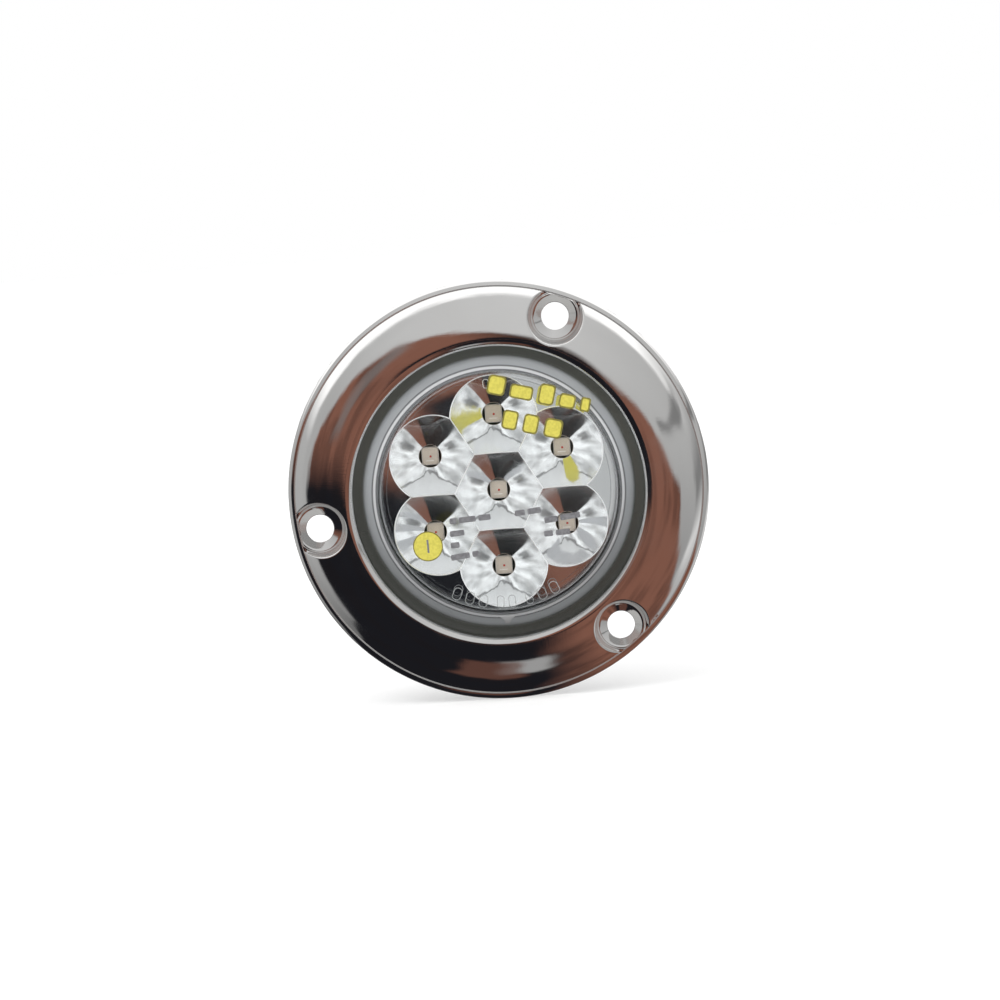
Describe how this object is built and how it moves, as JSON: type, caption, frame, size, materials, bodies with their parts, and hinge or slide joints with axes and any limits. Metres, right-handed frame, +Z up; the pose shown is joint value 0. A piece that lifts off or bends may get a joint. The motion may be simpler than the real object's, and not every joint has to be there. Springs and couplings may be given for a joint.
{
  "type": "round flange-mounted LED marker lamp",
  "caption": "Round clear-lens LED marker lamp with a multi-cup mirror reflector, held to a panel by a domed polished flange with dimpled screw holes.",
  "frame": {"origin": "on the lamp's axis at the middle of its depth, which is the centre of the bounding box; the flange's back plane, the one that lies on the panel, is the plane y = -0.0078", "axes": "-Y is the way the lamp faces, +Y goes into the panel, +Z is up with the middle column of emitters vertical, +X is to the right seen from the front"},
  "size_m": [0.0762, 0.0295, 0.0762],
  "materials": {
    "polished_stainless": "mirror polished with fine hairline scratches",
    "gasket_rubber": "matte closed-cell rubber",
    "clear_lens": "clear moulded polycarbonate, satin side wall",
    "printed_film": null,
    "metallised_plastic": "vacuum-metallised mirror",
    "black_plastic": "fine moulded texture",
    "board_laminate": "solder mask over glass laminate",
    "led_package": "moulded package with a clear encapsulated window",
    "component_black": "moulded epoxy",
    "capacitor_ceramic": "matte ceramic",
    "potting_resin": "cast epoxy",
    "contact_brass": "turned, bright"
  },
  "bodies": {
    "bezel": {"bezel": "polished_stainless"},
    "gasket": {"gasket": "gasket_rubber"},
    "lamp": {"lens": "clear_lens", "housing": "black_plastic", "contact_pin_left": "contact_brass", "contact_pin_right": "contact_brass", "reflector": "metallised_plastic", "circuit_board": "board_laminate", "pin_seal": "potting_resin", "led_1": "led_package", "led_2": "led_package", "led_3": "led_package", "led_4": "led_package", "led_5": "led_package", "led_6": "led_package", "led_7": "led_package", "resistor_1": "component_black", "resistor_2": "component_black", "resistor_3": "component_black", "reverse_polarity_diode": "component_black", "surge_suppressor": "component_black", "filter_capacitor": "capacitor_ceramic"},
    "film": {"protective_film": "printed_film"}
  },
  "joints": [
    {"name": "gasket_withdraw", "type": "slide", "parent": "bezel", "child": "gasket", "axis": [0, 1, 0], "range_m": [0, 0.03]},
    {"name": "lamp_turn", "type": "hinge", "parent": "gasket", "child": "lamp", "pos_m": [0, 0, 0], "axis": [0, -1, 0], "continuous": true},
    {"name": "film_lift", "type": "slide", "parent": "lamp", "child": "film", "axis": [0, -1, 0], "range_m": [0, 0.025]}
  ]
}
